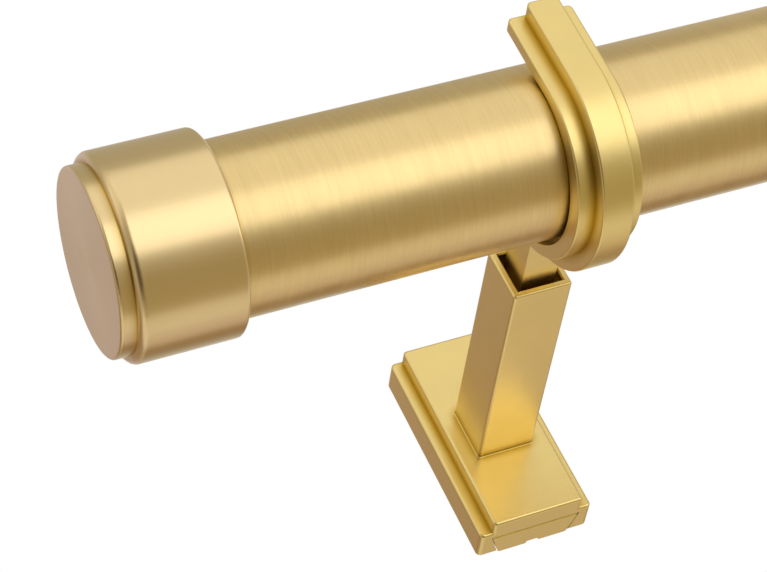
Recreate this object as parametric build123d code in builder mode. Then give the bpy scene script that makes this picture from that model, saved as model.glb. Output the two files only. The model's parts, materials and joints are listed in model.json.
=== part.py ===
"""Brass curtain rod with two end caps, held in front of a wall by two adjustable hook brackets.

The wall is the plane Y = 0 and the room lies towards -Y. The rod runs along X, and Z is up.
The origin is the middle of the left bracket's screw holes, on the wall.
A name that ends in _depth is a distance from the wall towards the room. All sizes are in millimetres.
"""
import os
from math import cos, radians, sin, sqrt, tan

from build123d import *

# Rod
rod_diameter = 38.1
rod_wall = 1.0
rod_length = 711.0
rod_depth = 115.5
rod_overhang = 99.0

# Clearances
sliding_clearance = 0.2
seat_clearance = 0.05
thread_clearance = 0.08

# End caps
cap_diameter = 44.7
cap_clearance = 0.15
cap_cover = 18.8
cap_floor = 4.7
cap_disc_diameter = 40.6
cap_disc_height = 3.4
cap_shoulder_round = 1.7
cap_disc_round = 0.6
cap_rim_round = 0.8
cap_screw_inset = 8.0

# Wall plates, dovetailed so that the bracket slides down over them
plate_length = 51.4
plate_thickness = 6.3
plate_back_width = 18.4
plate_front_width = 23.0
plate_groove_width = 3.2
plate_groove_depth = 0.8
plate_back_round = 0.6
plate_groove_round = 0.4
plate_end_round = 0.35
plate_hole_diameter = 4.5
plate_sink_diameter = 8.6
plate_hole_spacing = 30.0

# Bracket bases, each cast in one piece with its socket
base_width = 30.0
base_length = 56.0
base_wall_gap = 0.4
base_step_depth = 8.6
base_block_width = 24.0
base_block_depth = 12.6
base_corner_round = 1.3
base_block_corner_round = 1.0
base_edge_round = 0.7
base_back_round = 0.5
base_pocket_chamfer = 0.35
dovetail_side_clearance = 0.25
dovetail_front_clearance = 0.25
socket_width = 14.8
socket_rim_depth = 74.3
socket_drop = 1.0
socket_round = 0.7
socket_rim_round = 0.6
socket_foot_round = 0.35
socket_mouth_width = 11.3
socket_mouth_length = 4.0
socket_mouth_chamfer = 0.35
socket_bore_end_depth = 16.0

# Stems and hook cradles
stem_width = 8.6
stem_above_rod = 0.4
stem_inner_depth = 28.0
stem_chamfer = 0.6
stem_seat = 0.7
cradle_bore_diameter = 40.0
cradle_contact_angle = 205.0
cradle_band_width = 15.3
cradle_band_radius = 22.35
cradle_rib_width = 7.5
cradle_rib_radius = 26.0
cradle_drop = 1.45
cradle_setback = 0.2
cradle_arm_height = 18.6
cradle_arm_lean = 2.8
cradle_back_height = 16.0
cradle_edge_round = 0.45
cradle_tip_corner_round = 1.2

# Screws
screw_diameter = 4.0
screw_key_width = 2.0
screw_key_depth = 1.4
screw_point_diameter = 2.0
screw_point_length = 0.8
screw_inset = 0.3
rod_screw_height = 10.0
plate_screw_depth = 4.0
plate_screw_height = 6.0
slide_screw_inset = 18.0
cradle_screw_length = 14.0
cradle_screw_head_diameter = 7.6
cradle_screw_key_width = 2.5
tapped_hole_spare = 2.0

# Worked out from the sizes above
rod_radius = rod_diameter / 2
cap_radius = cap_diameter / 2
screw_hole_radius = screw_diameter / 2
screw_radius = screw_hole_radius - thread_clearance
bracket_spacing = rod_length - 2 * rod_overhang
stem_height = -socket_drop
rod_height = stem_height - stem_above_rod
base_bottom = -base_length / 2
bore_radius = cradle_bore_diameter / 2
rod_play = bore_radius - rod_radius - seat_clearance
bore_y = -rod_depth - rod_play * cos(radians(cradle_contact_angle))
bore_z = rod_height - rod_play * sin(radians(cradle_contact_angle))
outer_y = -rod_depth + cradle_setback
outer_z = rod_height - cradle_drop
rib_back_depth = -outer_y - cradle_rib_radius
stem_outer_depth = rib_back_depth + stem_seat
cradle_wall_depth = -bore_y - bore_radius
cradle_screw_depth = cradle_wall_depth - screw_inset
cradle_screw_head_length = cradle_screw_head_diameter / 2 - screw_hole_radius

# Each headless screw ends just short of what its point bears on
cap_screw_length = cap_radius - screw_inset - rod_radius - seat_clearance
slide_screw_length = (socket_width - stem_width) / 2 - screw_inset - sliding_clearance
plate_flare = (plate_front_width - plate_back_width) / 2 / plate_thickness
plate_flank = plate_back_width / 2 + plate_flare * (plate_screw_depth + screw_point_diameter / 2)
plate_screw_length = base_width / 2 - screw_inset - plate_flank - seat_clearance
rod_screw_chord = sqrt(rod_radius**2 - (rod_screw_height - screw_point_diameter / 2) ** 2)
rod_screw_length = rod_depth - rod_screw_chord - rib_back_depth - screw_inset - seat_clearance

os.makedirs("parts", exist_ok=True)


def finish(part, name):
    """Label a finished piece and write it to its own file."""
    part.label = name
    export_step(part, f"parts/{name}.step")


def room_plane(x, depth, z):
    """A plane parallel to the wall that faces the room: its x is the rod's and its y is up."""
    return Plane(origin=(x, -depth, z), x_dir=(1, 0, 0), z_dir=(0, -1, 0))


def wall_plane(x, depth, z):
    """A plane parallel to the wall that faces the wall."""
    return Plane(origin=(x, -depth, z), x_dir=(-1, 0, 0), z_dir=(0, 1, 0))


def floor_plane(x, z):
    """A level plane that faces up, with its origin on the wall."""
    return Plane(origin=(x, 0, z), x_dir=(1, 0, 0), z_dir=(0, 0, 1))


def grub_screw(plane, length):
    """A headless screw with a hexagon key socket in the plane. Its point lies along the plane's normal."""
    with BuildPart() as screw:
        with BuildSketch(plane):
            Circle(screw_radius)
        extrude(amount=length - screw_point_length)
        with BuildSketch(plane.offset(length - screw_point_length)):
            Circle(screw_radius)
        with BuildSketch(plane.offset(length)):
            Circle(screw_point_diameter / 2)
        loft()
        with BuildSketch(plane):
            RegularPolygon(radius=screw_key_width / 2, side_count=6, major_radius=False)
        extrude(amount=screw_key_depth, mode=Mode.SUBTRACT)
    return screw.part


# Rod tube
with BuildPart() as rod_tube:
    with BuildSketch(Plane.YZ.offset(-rod_overhang)):
        with Locations((-rod_depth, rod_height)):
            Circle(rod_radius)
            Circle(rod_radius - rod_wall, mode=Mode.SUBTRACT)
    extrude(amount=rod_length)
finish(rod_tube.part, "rod_tube")


def cap_screw_plane(end_x, outward):
    """The plane on the back of the cap where its screw starts, facing the rod."""
    screw_x = end_x - outward * (cap_cover - cap_screw_inset)
    return room_plane(screw_x, rod_depth - cap_radius + screw_inset, rod_height)


def end_cap(end_x, outward):
    """A turned cup over the rod's end, with a smaller disc standing proud on its front."""
    rod_end = (end_x, -rod_depth, rod_height)
    cap_bore = rod_radius + cap_clearance
    cap_face = cap_floor + cap_disc_height
    disc_radius = cap_disc_diameter / 2
    with BuildPart() as cap:
        with BuildSketch(Plane(origin=rod_end, x_dir=(outward, 0, 0), z_dir=(0, -outward, 0))):
            with BuildLine() as section:
                Polyline(
                    (0, 0),
                    (0, cap_bore),
                    (-cap_cover, cap_bore),
                    (-cap_cover, cap_radius),
                    (cap_floor, cap_radius),
                    (cap_floor, disc_radius),
                    (cap_face, disc_radius),
                    (cap_face, 0),
                    close=True,
                )
                fillet(section.vertices().sort_by_distance((cap_floor, cap_radius, 0))[0], cap_shoulder_round)
                fillet(section.vertices().sort_by_distance((cap_face, disc_radius, 0))[0], cap_disc_round)
                fillet(section.vertices().sort_by_distance((-cap_cover, cap_radius, 0))[0], cap_rim_round)
            make_face()
        revolve(axis=Axis(rod_end, (1, 0, 0)))
        with BuildSketch(cap_screw_plane(end_x, outward).offset(-screw_inset)):
            Circle(screw_hole_radius)
        extrude(amount=cap_radius - rod_radius, mode=Mode.SUBTRACT)
    return cap.part


def wall_plate(x):
    """A dovetail bar, wider towards the room, with two countersunk holes and a groove down its back."""
    back = plate_back_width / 2
    front = plate_front_width / 2
    with BuildPart() as plate:
        with BuildSketch(floor_plane(x, base_bottom)):
            with BuildLine():
                Polyline(
                    (-back, 0),
                    (back, 0),
                    (front, -plate_thickness),
                    (-front, -plate_thickness),
                    close=True,
                )
            make_face()
            with Locations((0, -plate_groove_depth / 2)):
                Rectangle(plate_groove_width, plate_groove_depth, mode=Mode.SUBTRACT)
        extrude(amount=plate_length)
        back_edges = plate.edges().filter_by(Axis.Z).group_by(Axis.Y)[-1].sort_by(Axis.X)
        fillet([back_edges[0], back_edges[-1]], plate_back_round)
        fillet(plate.edges().filter_by(Axis.Z).group_by(Axis.Y)[-1].sort_by(Axis.X)[1:-1], plate_groove_round)
        fillet(plate.edges().filter_by(Axis.X).group_by(Axis.Y)[0], plate_end_round)
        with Locations(room_plane(x, plate_thickness, 0)):
            with GridLocations(0, plate_hole_spacing, 1, 2):
                CounterSinkHole(plate_hole_diameter / 2, plate_sink_diameter / 2)
    return plate.part


def plate_screw_plane(x, inward):
    """The plane on the bracket's inner flank where its plate screw starts, facing the wall plate."""
    return Plane(
        origin=(x + inward * (base_width / 2 - screw_inset), -plate_screw_depth, plate_screw_height),
        x_dir=(0, 1, 0),
        z_dir=(-inward, 0, 0),
    )


def slide_screw_plane(x):
    """The plane on top of the socket where the stem's screw starts, facing the stem."""
    return Plane(
        origin=(x, slide_screw_inset - socket_rim_depth, stem_height + socket_width / 2 - screw_inset),
        x_dir=(1, 0, 0),
        z_dir=(0, 0, -1),
    )


def rod_screw_plane(x):
    """The plane on the back of the cradle where the rod's screw starts, facing the rod."""
    return room_plane(x, rib_back_depth + screw_inset, rod_height + rod_screw_height)


def bracket_base(x, inward):
    """The casting: a stepped plate with a dovetail pocket in its back and a square socket on its front."""
    pocket_back = plate_back_width / 2 + dovetail_side_clearance
    pocket_front = plate_front_width / 2 + dovetail_side_clearance
    pocket_depth = plate_thickness + dovetail_front_clearance
    guide_width = stem_width + 2 * sliding_clearance
    with BuildPart() as base:
        with BuildSketch(room_plane(x, base_wall_gap, 0)):
            RectangleRounded(base_width, base_length, base_corner_round)
        extrude(amount=base_step_depth - base_wall_gap)
        fillet(base.faces().sort_by(Axis.Y)[0].edges(), base_edge_round)
        fillet(base.faces().sort_by(Axis.Y)[-1].edges(), base_back_round)
        with BuildSketch(room_plane(x, base_step_depth - base_edge_round, 0)):
            RectangleRounded(base_block_width, base_length, base_block_corner_round)
        extrude(amount=base_block_depth - base_step_depth + base_edge_round)
        fillet(base.faces().sort_by(Axis.Y)[0].edges(), base_edge_round)
        with BuildSketch(room_plane(x, base_block_depth, stem_height)):
            RectangleRounded(socket_width, socket_width, socket_round)
        extrude(amount=socket_rim_depth - base_block_depth)
        fillet(base.faces().sort_by(Axis.Y)[0].edges(), socket_rim_round)
        foot = base.faces().filter_by(Axis.Y).sort_by_distance((x, -base_block_depth, stem_height))[0]
        fillet(foot.inner_wires()[0].edges(), socket_foot_round)
        with BuildSketch(floor_plane(x, base_bottom)):
            with BuildLine():
                Polyline(
                    (-pocket_back, 0),
                    (pocket_back, 0),
                    (pocket_front, -pocket_depth),
                    (-pocket_front, -pocket_depth),
                    close=True,
                )
            make_face()
        extrude(amount=plate_length + seat_clearance, mode=Mode.SUBTRACT)
        pocket_mouth = base.faces().sort_by(Axis.Z)[0].edges()
        chamfer(pocket_mouth.sort_by_distance((x, -pocket_depth / 2, base_bottom))[:3], base_pocket_chamfer)
        with BuildSketch(room_plane(x, socket_rim_depth, stem_height)):
            Rectangle(socket_mouth_width, socket_mouth_width)
        extrude(amount=-socket_mouth_length, mode=Mode.SUBTRACT)
        chamfer(base.faces().sort_by(Axis.Y)[0].inner_wires()[0].edges(), socket_mouth_chamfer)
        with BuildSketch(room_plane(x, socket_rim_depth, stem_height)):
            Rectangle(guide_width, guide_width)
        extrude(amount=socket_bore_end_depth - socket_rim_depth, mode=Mode.SUBTRACT)
        with BuildSketch(plate_screw_plane(x, inward).offset(-screw_inset)):
            Circle(screw_hole_radius)
        extrude(amount=(base_width - plate_back_width) / 2, mode=Mode.SUBTRACT)
        with BuildSketch(slide_screw_plane(x).offset(-screw_inset)):
            Circle(screw_hole_radius)
        extrude(amount=socket_width / 2, mode=Mode.SUBTRACT)
    return base.part


def cradle_stem(x):
    """The square bar that slides in the socket, tapped in its outer end for the cradle's screw."""
    with BuildPart() as stem:
        with BuildSketch(room_plane(x, stem_inner_depth, stem_height)):
            Rectangle(stem_width, stem_width)
        extrude(amount=stem_outer_depth - stem_inner_depth)
        chamfer(stem.faces().sort_by(Axis.Y)[-1].edges(), stem_chamfer)
        with BuildSketch(wall_plane(x, stem_outer_depth, stem_height)):
            Circle(screw_hole_radius)
        screw_reach = cradle_screw_length - (cradle_screw_depth - stem_outer_depth)
        extrude(amount=screw_reach + tapped_hole_spare, mode=Mode.SUBTRACT)
    return stem.part


def hook(x, width, radius):
    """The hook from its bore out to a radius: a leaning front arm, a round bottom and a short back arm."""
    lean = tan(radians(cradle_arm_lean))
    tip_z = rod_height + cradle_arm_height
    back_z = rod_height + cradle_back_height
    with BuildSketch(Plane.YZ.offset(x - width / 2)) as section:
        with BuildLine():
            outside = CenterArc((outer_y, outer_z), radius, 180, 180)
            inside = CenterArc((bore_y, bore_z), bore_radius, 180, 180)
            outside_front = outside @ 0
            inside_front = inside @ 0
            outside_back = outside @ 1
            inside_back = inside @ 1
            Polyline(
                outside_front,
                (outside_front.X - lean * (tip_z - outside_front.Y), tip_z),
                (inside_front.X - lean * (tip_z - inside_front.Y), tip_z),
                inside_front,
            )
            Polyline(outside_back, (outside_back.X, back_z), (inside_back.X, back_z), inside_back)
        make_face()
    with BuildPart() as band:
        extrude(section.sketch, amount=width)
        fillet(band.edges().filter_by(Axis.Y), cradle_tip_corner_round)
        fillet(band.faces().filter_by(Axis.X).edges(), cradle_edge_round)
    return band.part


def rod_cradle(x):
    """The open hook that holds the rod: a wide band with a narrower rib standing proud along its middle."""
    with BuildPart() as cradle:
        add(hook(x, cradle_band_width, cradle_band_radius))
        add(hook(x, cradle_rib_width, cradle_rib_radius))
        with BuildSketch(room_plane(x, 0, stem_height)):
            Rectangle(stem_width + seat_clearance, stem_width + seat_clearance)
        extrude(amount=stem_outer_depth, mode=Mode.SUBTRACT)
        with BuildSketch(rod_screw_plane(x).offset(-screw_inset)):
            Circle(screw_hole_radius)
        extrude(amount=bore_radius, mode=Mode.SUBTRACT)
        with Locations(room_plane(x, cradle_screw_depth, stem_height)):
            CounterSinkHole(
                screw_hole_radius,
                cradle_screw_head_diameter / 2,
                depth=cradle_wall_depth - rib_back_depth,
                counter_sink_angle=90,
            )
    return cradle.part


def cradle_screw(x):
    """The countersunk screw from inside the cradle into the end of the stem, with a hexagon key socket."""
    head_plane = wall_plane(x, cradle_screw_depth, stem_height)
    neck_plane = head_plane.offset(cradle_screw_head_length)
    with BuildPart() as screw:
        with BuildSketch(head_plane):
            Circle(cradle_screw_head_diameter / 2 - thread_clearance)
        with BuildSketch(neck_plane):
            Circle(screw_radius)
        loft()
        with BuildSketch(neck_plane):
            Circle(screw_radius)
        extrude(amount=cradle_screw_length - cradle_screw_head_length)
        with BuildSketch(head_plane):
            RegularPolygon(radius=cradle_screw_key_width / 2, side_count=6, major_radius=False)
        extrude(amount=screw_key_depth, mode=Mode.SUBTRACT)
    return screw.part


# End caps, each held by a screw on its wall side
for end_x, outward, side in [(-rod_overhang, -1, "left"), (rod_length - rod_overhang, 1, "right")]:
    finish(end_cap(end_x, outward), f"end_cap_{side}")
    finish(grub_screw(cap_screw_plane(end_x, outward), cap_screw_length), f"end_cap_screw_{side}")

# Two brackets, with their plate screws on the flanks that face each other
for x, inward, side in [(0, 1, "left"), (bracket_spacing, -1, "right")]:
    finish(wall_plate(x), f"wall_plate_{side}")
    finish(bracket_base(x, inward), f"bracket_base_{side}")
    finish(grub_screw(plate_screw_plane(x, inward), plate_screw_length), f"plate_screw_{side}")
    finish(grub_screw(slide_screw_plane(x), slide_screw_length), f"projection_screw_{side}")
    finish(cradle_stem(x), f"cradle_stem_{side}")
    finish(rod_cradle(x), f"rod_cradle_{side}")
    finish(cradle_screw(x), f"cradle_screw_{side}")
    finish(grub_screw(rod_screw_plane(x), rod_screw_length), f"rod_screw_{side}")
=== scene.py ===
import json
from math import cos, pi, radians

import bpy
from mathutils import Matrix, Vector


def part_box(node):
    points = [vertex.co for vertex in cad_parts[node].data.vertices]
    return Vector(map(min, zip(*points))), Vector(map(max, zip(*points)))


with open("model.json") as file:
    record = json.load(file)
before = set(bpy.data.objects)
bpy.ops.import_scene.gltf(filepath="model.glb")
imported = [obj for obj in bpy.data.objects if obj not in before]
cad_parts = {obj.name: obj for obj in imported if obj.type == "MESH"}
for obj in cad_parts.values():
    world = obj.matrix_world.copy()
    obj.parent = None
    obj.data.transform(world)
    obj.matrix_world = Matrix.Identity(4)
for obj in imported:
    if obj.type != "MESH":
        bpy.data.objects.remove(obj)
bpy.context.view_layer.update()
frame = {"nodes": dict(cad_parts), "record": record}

# Camera, fitted to the photograph: the photo's width and focal length in pixels, the camera's place in
# metres, its turn in degrees, and its film in millimetres
photo_width = 767
photo_focal_length = 2497.6
camera_place = (-0.2180, -0.5049, -0.3095)
camera_turn = (127.246, 23.056, -6.504)
film_width = 36
nearest_seen = 0.01

# The rod's axis, from the frame
rod_low, rod_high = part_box("rod_tube")
rod_middle = (rod_low + rod_high) / 2

# Soft boxes round a point on the rod near its left bracket: each one's direction from there, its size,
# and how bright it looks in a mirror
light_target = Vector((0.10, rod_middle.y, 0.0))
light_distance = 1.5
soft_lights = {
    "key_light": {"toward": (0.42, -0.80, -0.37), "size": (2.4, 1.15), "brightness": 1.00},
    "front_light": {"toward": (0.21, -0.85, 0.45), "size": (1.34, 1.7), "brightness": 0.49},
    "low_light": {"toward": (0.00, 0.69, -0.72), "size": (3.4, 1.3), "brightness": 0.32},
}

# Studio as the metal mirrors it: a plain tone, then patches of other tones, each over those above it.
# A patch lies in a direction, is full within one angle of it and gone at another, both in degrees.
white = (1, 1, 1, 1)
room_grey = (0.80, 0.80, 0.80, 1)
studio_tone = (0.44, 0.40, 0.30, 1)
studio_patches = {
    "behind_high": {"toward": (-0.2, 0.75, 0.63), "full": 12, "gone": 38, "tone": (0.61, 0.54, 0.53, 1)},
    "behind_left": {"toward": (-0.65, 0.75, 0.15), "full": 20, "gone": 42, "tone": (0.34, 0.22, 0.13, 1)},
    "front_left_high": {"toward": (-0.45, -0.7, 0.5), "full": 12, "gone": 36, "tone": (0.84, 0.8, 0.66, 1)},
    "left_high": {"toward": (-0.85, -0.28, 0.45), "full": 8, "gone": 24, "tone": (0.95, 0.9, 0.8, 1)},
    "right_high": {"toward": (0.8, 0.25, 0.5), "full": 10, "gone": 35, "tone": (0.75, 0.68, 0.56, 1)},
    "behind_low": {"toward": (0.35, 0.88, -0.33), "full": 12, "gone": 30, "tone": (0.28, 0.17, 0.08, 1)},
    "below": {"toward": (0.2, 0.05, -1), "full": 15, "gone": 45, "tone": (0.37, 0.29, 0.14, 1)},
    "front_left_low": {"toward": (-0.44, -0.42, -0.79), "full": 16, "gone": 36, "tone": (0.05, 0.025, 0, 1)},
    "backdrop": {"toward": (0.42, 0.75, 0.5), "full": 5, "gone": 20, "tone": white},
}

# Floor
floor_height = -1.75
floor_size = 30.0
floor_color = (0.90, 0.90, 0.89, 1)
floor_roughness = 0.9

# Metal colours
tube_color = (0.86, 0.66, 0.32)
cap_color = (0.86, 0.67, 0.36)
casting_color = (0.90, 0.72, 0.31)
screw_color = (0.80, 0.60, 0.27)

# Roughness of each finish, and its range from the smoothest spots to the roughest
tube_roughness = 0.35
tube_roughness_range = (0.32, 0.38)
cap_roughness = 0.29
cap_roughness_range = (0.28, 0.31)
casting_roughness = 0.34
casting_roughness_range = (0.32, 0.36)
screw_roughness = 0.33

# Weight of the clear lacquer over each finish, and how rough the lacquer is
tube_lacquer = 0.5
cap_lacquer = 0.8
casting_lacquer = 0.05
screw_lacquer = 0.0
lacquer_roughness = 0.25

# Grain: about how many waves of it fit in a metre along X, Y and Z
tube_scratches = (1900, 110, 110)
tube_streaks = (420, 40, 40)
cap_turning_lines = (5000, 60, 60)
cap_haze = (60, 60, 60)
casting_skin = (900, 900, 900)
casting_clouds = (90, 90, 90)
screw_tool_marks = (1500, 1500, 1500)

# The noise's own values that are spread over a finish, from its lowest to its highest
grain_low = 0.3
grain_high = 0.7

# How far the grain's colour strays from the metal's, as a share of it
tube_color_spread = 0.04
cap_color_spread = 0.015
casting_color_spread = 0.02
screw_color_spread = 0.06

# How deep the grain is, in metres, and how strongly it shows
scratch_depth = 0.00002
scratch_strength = 0.4
skin_depth = 0.000002
skin_strength = 0.2

# How strongly the fine lines round the rod's axis draw a reflection out along it
tube_brushing = 0.4
cap_brushing = 0.3
quarter_turn = 0.25

# Painted shade in recesses: from how near, in metres, a wall counts, and the tones that darken the metal's
# colour there as painted shade.
# A tone stands at how open a place is, from 0 where it's shut in to 1 where nothing is near.
tube_shade_reach = 0.0016
cap_shade_reach = 0.0020
casting_shade_reach = 0.0024
shade_rays = 8
gap_openness = 0.10
# painted shadow, near black, in narrow gaps
gap_shadow_tone = (0.08, 0.03, 0.00, 1)
corner_openness = (0.34, 0.52)
# painted shade, a deeper gold, in inner corners
corner_shade_tone = (0.68, 0.58, 0.16, 1)


def add_camera():
    bpy.ops.object.camera_add(location=camera_place, rotation=[radians(turn) for turn in camera_turn])
    camera = bpy.context.object
    camera.name = "photo_camera"
    camera.data.sensor_width = film_width
    camera.data.lens = photo_focal_length / photo_width * film_width
    camera.data.clip_start = nearest_seen
    bpy.context.scene.camera = camera


def add_soft_light(name, toward, size, brightness):
    """A rectangular lamp, level along the rod, that faces the object and isn't seen by the camera."""
    away = Vector(toward).normalized()
    bpy.ops.object.light_add(type="AREA", location=light_target + away * light_distance)
    lamp = bpy.context.object
    lamp.name = name
    lamp.rotation_euler = away.to_track_quat("Z", "Y").to_euler()
    lamp.data.shape = "RECTANGLE"
    lamp.data.size, lamp.data.size_y = size
    lamp.data.energy = brightness * pi * size[0] * size[1]
    lamp.visible_camera = False


def studio_mix(world, factor, below, above):
    """Mixes two tones of the studio, each given as a colour or as another mix's output."""
    nodes, links = world.node_tree.nodes, world.node_tree.links
    mix = nodes.new("ShaderNodeMix")
    mix.data_type = "RGBA"
    links.new(factor, mix.inputs["Factor"])
    for socket, tone in [(mix.inputs["A"], below), (mix.inputs["B"], above)]:
        if isinstance(tone, tuple):
            socket.default_value = tone
        else:
            links.new(tone, socket)
    return mix.outputs["Result"]


def studio_patch(world, toward, full, gone):
    """One in the middle of a patch of the studio, and fading to nothing at its rim."""
    nodes, links = world.node_tree.nodes, world.node_tree.links
    place = nodes.new("ShaderNodeTexCoord")
    nearness = nodes.new("ShaderNodeVectorMath")
    nearness.operation = "DOT_PRODUCT"
    nearness.inputs[1].default_value = Vector(toward).normalized()
    fade = nodes.new("ShaderNodeMapRange")
    fade.interpolation_type = "SMOOTHSTEP"
    fade.inputs["From Min"].default_value = cos(radians(gone))
    fade.inputs["From Max"].default_value = cos(radians(full))
    links.new(place.outputs["Generated"], nearness.inputs[0])
    links.new(nearness.outputs["Value"], fade.inputs["Value"])
    return fade.outputs["Result"]


def make_world():
    """White to the camera and pale on the floor, while the metal mirrors the studio's tones."""
    world = bpy.data.worlds.new("studio")
    bpy.context.scene.world = world
    world.use_nodes = True
    path = world.node_tree.nodes.new("ShaderNodeLightPath")
    studio = studio_tone
    for patch in studio_patches.values():
        place = studio_patch(world, patch["toward"], patch["full"], patch["gone"])
        studio = studio_mix(world, place, studio, patch["tone"])
    seen = studio_mix(world, path.outputs["Is Glossy Ray"], room_grey, studio)
    seen = studio_mix(world, path.outputs["Is Transmission Ray"], seen, white)
    seen = studio_mix(world, path.outputs["Is Camera Ray"], seen, white)
    world.node_tree.links.new(seen, world.node_tree.nodes["Background"].inputs["Color"])


def add_floor():
    """A pale floor, below the lamps. It can't be seen from underneath, and the metal doesn't mirror it."""
    bpy.ops.object.select_all(action="DESELECT")
    bpy.ops.mesh.primitive_plane_add(size=floor_size, location=(rod_middle.x, rod_middle.y, floor_height))
    floor = bpy.context.object
    floor.name = "studio_floor"
    floor.visible_glossy = False
    floor.visible_shadow = False
    material = bpy.data.materials.new("pale_floor")
    material.use_nodes = True
    nodes, links = material.node_tree.nodes, material.node_tree.links
    paint = nodes["Principled BSDF"]
    paint.inputs["Base Color"].default_value = floor_color
    paint.inputs["Roughness"].default_value = floor_roughness
    paint.inputs["Specular IOR Level"].default_value = 0.0
    side = nodes.new("ShaderNodeNewGeometry")
    clear = nodes.new("ShaderNodeBsdfTransparent")
    mix = nodes.new("ShaderNodeMixShader")
    links.new(side.outputs["Backfacing"], mix.inputs["Fac"])
    links.new(paint.outputs["BSDF"], mix.inputs[1])
    links.new(clear.outputs["BSDF"], mix.inputs[2])
    links.new(mix.outputs["Shader"], nodes["Material Output"].inputs["Surface"])
    floor.data.materials.append(material)


def metal(name, color, roughness, lacquer):
    """Brass under a coat of clear lacquer, which mirrors a little white at a low angle."""
    material = bpy.data.materials.new(name)
    material.use_nodes = True
    shader = material.node_tree.nodes["Principled BSDF"]
    shader.inputs["Metallic"].default_value = 1.0
    shader.inputs["Base Color"].default_value = (*color, 1)
    shader.inputs["Roughness"].default_value = roughness
    shader.inputs["Coat Weight"].default_value = lacquer
    shader.inputs["Coat Roughness"].default_value = lacquer_roughness
    return material


def grain(material, name, waves, detail=2.0):
    """Noise over the piece, with a number of waves a metre along X, Y and Z."""
    nodes, links = material.node_tree.nodes, material.node_tree.links
    place = nodes.new("ShaderNodeTexCoord")
    mapping = nodes.new("ShaderNodeMapping")
    mapping.inputs["Scale"].default_value = waves
    noise = nodes.new("ShaderNodeTexNoise")
    noise.name = noise.label = name
    noise.inputs["Scale"].default_value = 1.0
    noise.inputs["Detail"].default_value = detail
    links.new(place.outputs["Object"], mapping.inputs["Vector"])
    links.new(mapping.outputs["Vector"], noise.inputs["Vector"])
    return noise


def vary_roughness(material, noise, roughness_range):
    """The noise makes the metal smoother or rougher, from one end of its range to the other."""
    nodes, links = material.node_tree.nodes, material.node_tree.links
    spread = nodes.new("ShaderNodeMapRange")
    spread.inputs["From Min"].default_value = grain_low
    spread.inputs["From Max"].default_value = grain_high
    spread.inputs["To Min"].default_value, spread.inputs["To Max"].default_value = roughness_range
    links.new(noise.outputs["Fac"], spread.inputs["Value"])
    links.new(spread.outputs["Result"], nodes["Principled BSDF"].inputs["Roughness"])


def vary_color(material, noise, color, spread):
    """The noise makes the metal a little darker or lighter than its colour."""
    nodes, links = material.node_tree.nodes, material.node_tree.links
    ramp = nodes.new("ShaderNodeValToRGB")
    dark, light = ramp.color_ramp.elements
    dark.position = grain_low
    dark.color = [*(channel * (1 - spread) for channel in color), 1]
    light.position = grain_high
    light.color = [*(min(1, channel * (1 + spread)) for channel in color), 1]
    links.new(noise.outputs["Fac"], ramp.inputs["Fac"])
    links.new(ramp.outputs["Color"], nodes["Principled BSDF"].inputs["Base Color"])


def paint_recess_shade(material, reach):
    """Painted shade: ambient occlusion darkens the metal's colour to a deeper gold in inner corners and near
    black in narrow gaps.
    """
    nodes, links = material.node_tree.nodes, material.node_tree.links
    open_metal = nodes["Principled BSDF"].inputs["Base Color"].links[0].from_socket
    openness = nodes.new("ShaderNodeAmbientOcclusion")
    openness.samples = shade_rays
    openness.inputs["Distance"].default_value = reach
    tones = nodes.new("ShaderNodeValToRGB")
    gap, clear = tones.color_ramp.elements
    gap.position, gap.color = gap_openness, gap_shadow_tone
    clear.position, clear.color = 1.0, white
    for position in corner_openness:
        tones.color_ramp.elements.new(position).color = corner_shade_tone
    mix = nodes.new("ShaderNodeMix")
    mix.data_type = "RGBA"
    mix.blend_type = "MULTIPLY"
    mix.inputs["Factor"].default_value = 1.0
    links.new(openness.outputs["AO"], tones.inputs["Fac"])
    links.new(open_metal, mix.inputs["A"])
    links.new(tones.outputs["Color"], mix.inputs["B"])
    links.new(mix.outputs["Result"], nodes["Principled BSDF"].inputs["Base Color"])


def roughen(material, noise, depth, strength):
    """The noise stands up from the surface by a depth in metres."""
    nodes, links = material.node_tree.nodes, material.node_tree.links
    bump = nodes.new("ShaderNodeBump")
    bump.inputs["Distance"].default_value = depth
    bump.inputs["Strength"].default_value = strength
    links.new(noise.outputs["Fac"], bump.inputs["Height"])
    links.new(bump.outputs["Normal"], nodes["Principled BSDF"].inputs["Normal"])


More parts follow.
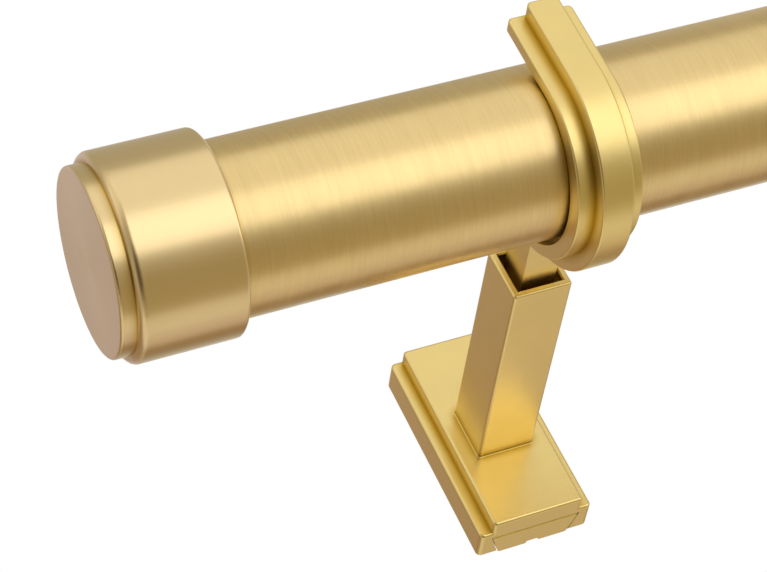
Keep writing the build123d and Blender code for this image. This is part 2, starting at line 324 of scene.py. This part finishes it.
def brush_around_rod(material, brushing):
    """Fine lines run round the rod's axis, so a light's reflection is drawn out along the rod."""
    nodes, links = material.node_tree.nodes, material.node_tree.links
    shader = nodes["Principled BSDF"]
    tangent = nodes.new("ShaderNodeTangent")
    tangent.direction_type = "RADIAL"
    tangent.axis = "X"
    shader.inputs["Anisotropic"].default_value = brushing
    shader.inputs["Anisotropic Rotation"].default_value = quarter_turn
    links.new(tangent.outputs["Tangent"], shader.inputs["Tangent"])


def make_brushed_tube():
    material = metal("brushed_brass_tube", tube_color, tube_roughness, tube_lacquer)
    scratches = grain(material, "scratches round the tube", tube_scratches, detail=3.0)
    streaks = grain(material, "broader streaks", tube_streaks)
    vary_color(material, scratches, tube_color, tube_color_spread)
    vary_roughness(material, streaks, tube_roughness_range)
    roughen(material, scratches, scratch_depth, scratch_strength)
    # painted shade where the tube meets the hook
    paint_recess_shade(material, tube_shade_reach)
    brush_around_rod(material, tube_brushing)
    return material


def make_turned_cap():
    material = metal("turned_brass_cap", cap_color, cap_roughness, cap_lacquer)
    lines = grain(material, "turning lines", cap_turning_lines, detail=1.0)
    haze = grain(material, "haze", cap_haze)
    vary_color(material, haze, cap_color, cap_color_spread)
    vary_roughness(material, lines, cap_roughness_range)
    # painted shade in the cap's recesses
    paint_recess_shade(material, cap_shade_reach)
    brush_around_rod(material, cap_brushing)
    return material


def make_satin_casting():
    material = metal("satin_brass_casting", casting_color, casting_roughness, casting_lacquer)
    skin = grain(material, "cast skin", casting_skin)
    clouds = grain(material, "polishing clouds", casting_clouds)
    vary_color(material, clouds, casting_color, casting_color_spread)
    vary_roughness(material, skin, casting_roughness_range)
    roughen(material, skin, skin_depth, skin_strength)
    # painted shade in the casting's corners and gaps
    paint_recess_shade(material, casting_shade_reach)
    return material


def make_machined_screw():
    material = metal("machined_brass_screw", screw_color, screw_roughness, screw_lacquer)
    marks = grain(material, "tool marks", screw_tool_marks)
    vary_color(material, marks, screw_color, screw_color_spread)
    return material


def finish_pieces():
    """Gives each CAD node the finish of its material slot in the record."""
    finishes = {
        "rod_brass": make_brushed_tube(),
        "cap_brass": make_turned_cap(),
        "cast_brass": make_satin_casting(),
        "screw_brass": make_machined_screw(),
    }
    for part in frame["record"]["subparts"]:
        for slot in frame["nodes"][part["node"]].material_slots:
            slot.material = finishes[part["material_slot"]]


bpy.context.scene.view_settings.view_transform = "Standard"
add_camera()
make_world()
add_floor()
for name, light in soft_lights.items():
    add_soft_light(name, **light)
finish_pieces()
